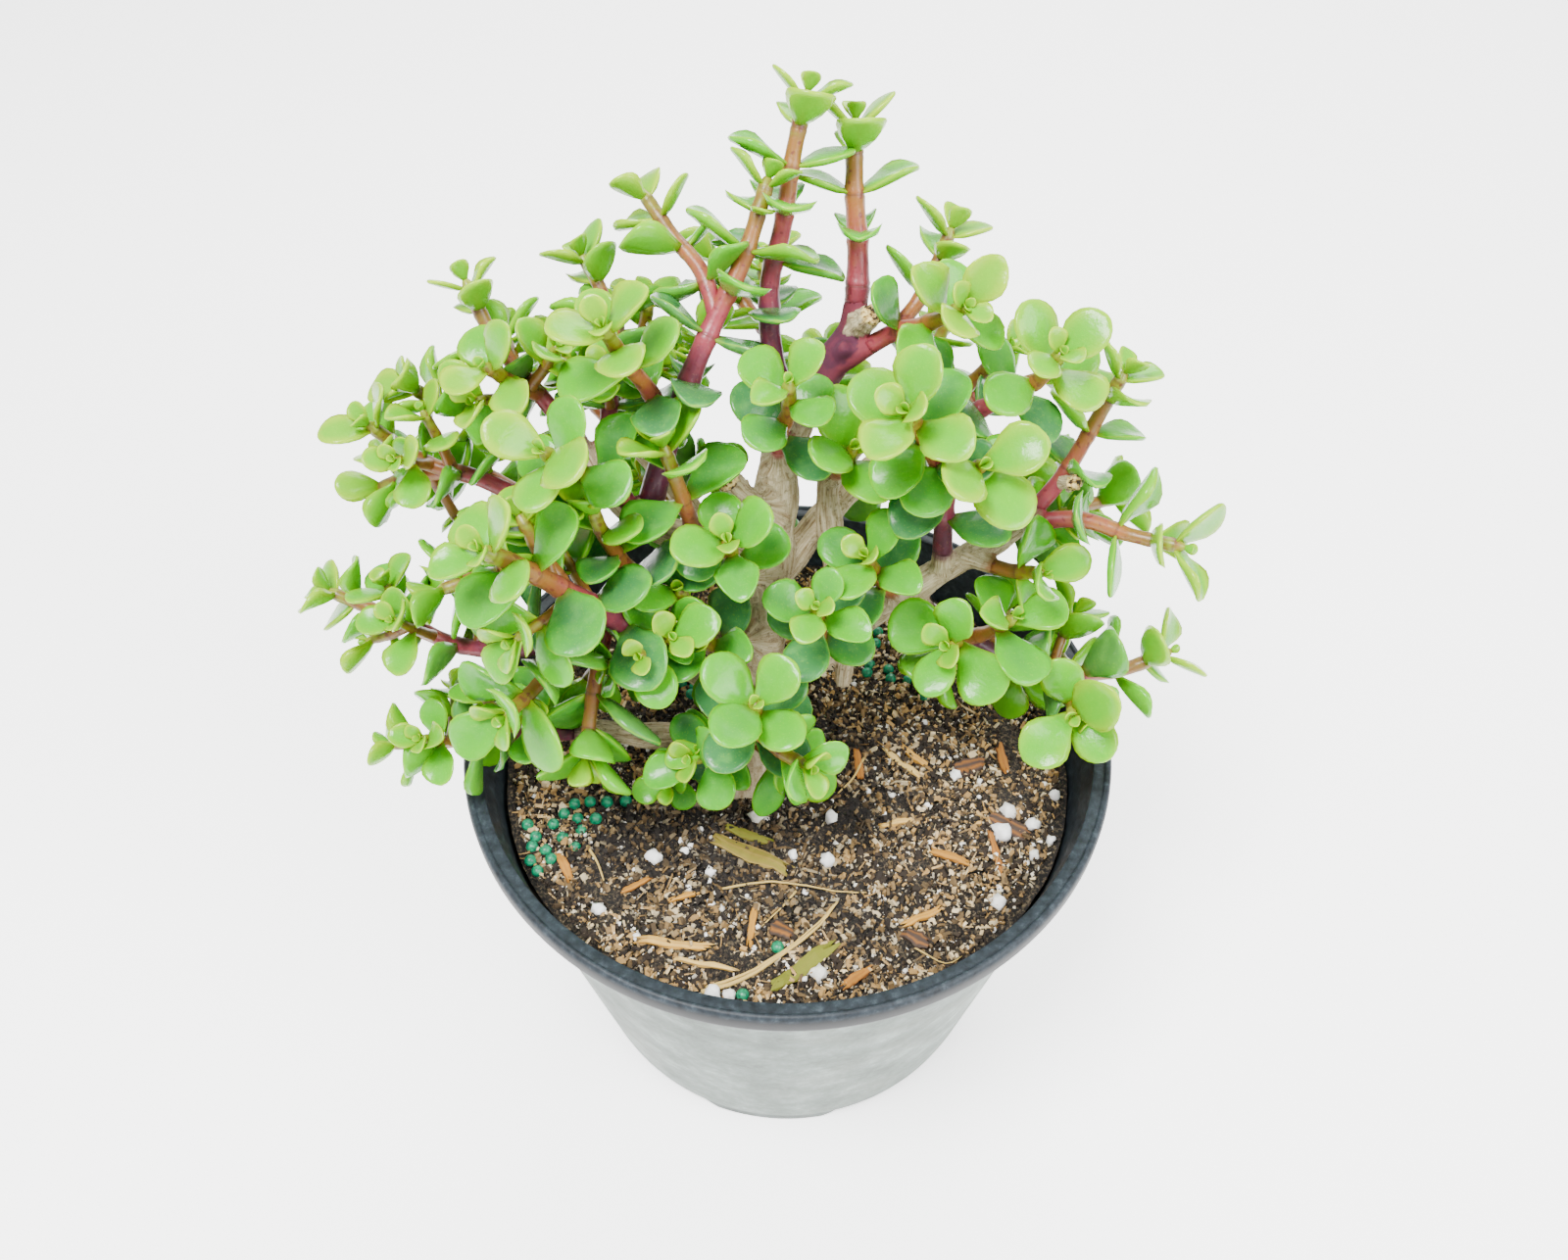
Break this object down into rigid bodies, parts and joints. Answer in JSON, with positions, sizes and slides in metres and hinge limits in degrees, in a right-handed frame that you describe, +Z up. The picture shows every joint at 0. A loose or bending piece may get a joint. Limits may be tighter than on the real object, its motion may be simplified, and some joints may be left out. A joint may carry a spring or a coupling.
{
  "type": "dwarf jade bonsai",
  "caption": "Small dwarf jade plant with a woody trunk, fleshy stems and rounded leaves, standing in soil in a round tapered nursery pot.",
  "frame": {"origin": "middle of the pot's base, on the surface that it stands on", "axes": "+Z up along the pot's axis, -Y towards the plant's front as pictured, +X to the right"},
  "size_m": [0.216, 0.1747, 0.2582],
  "materials": {
    "pot_plastic": "dark slate rim, mottled light grey wall",
    "potting_soil": "loose brown potting mix with bark chips, perlite and green beads",
    "wood_bark": "grey-brown bark with fibres",
    "leaf_green": "fleshy glossy leaves, lime at the tips, on red-brown stems"
  },
  "bodies": {
    "root": {"pot": "pot_plastic", "shoot_back_left": "leaf_green", "shoot_back_left_high": "leaf_green", "shoot_back_left_low": "leaf_green", "shoot_back_low": "leaf_green", "shoot_back_middle": "leaf_green", "shoot_back_right": "leaf_green", "shoot_back_right_far": "leaf_green", "shoot_back_right_high": "leaf_green", "shoot_back_right_low": "leaf_green", "shoot_crown_right": "leaf_green", "shoot_front": "leaf_green", "shoot_front_left": "leaf_green", "shoot_front_upper": "leaf_green", "shoot_inner_front": "leaf_green", "shoot_inner_front_left": "leaf_green", "shoot_inner_left": "leaf_green", "shoot_inner_right": "leaf_green", "shoot_left_drooping": "leaf_green", "shoot_left_far": "leaf_green", "shoot_left_hanging": "leaf_green", "shoot_left_high": "leaf_green", "shoot_left_low": "leaf_green", "shoot_left_middle": "leaf_green", "shoot_left_side": "leaf_green", "shoot_left_upper": "leaf_green", "shoot_low_back": "leaf_green", "shoot_middle_left": "leaf_green", "shoot_middle_right": "leaf_green", "shoot_right_far": "leaf_green", "shoot_right_front": "leaf_green", "shoot_right_high": "leaf_green", "shoot_right_low": "leaf_green", "shoot_right_middle": "leaf_green", "shoot_right_upper": "leaf_green", "shoot_rim_left": "leaf_green", "shoot_rosette_left": "leaf_green", "shoot_rosette_middle": "leaf_green", "shoot_rosette_top": "leaf_green", "shoot_side_left": "leaf_green", "shoot_side_right": "leaf_green", "shoot_small_low": "leaf_green", "shoot_tall": "leaf_green", "shoot_top_left": "leaf_green", "shoot_top_right": "leaf_green", "soil": "potting_soil", "trunk": "wood_bark"}
  },
  "joints": []
}
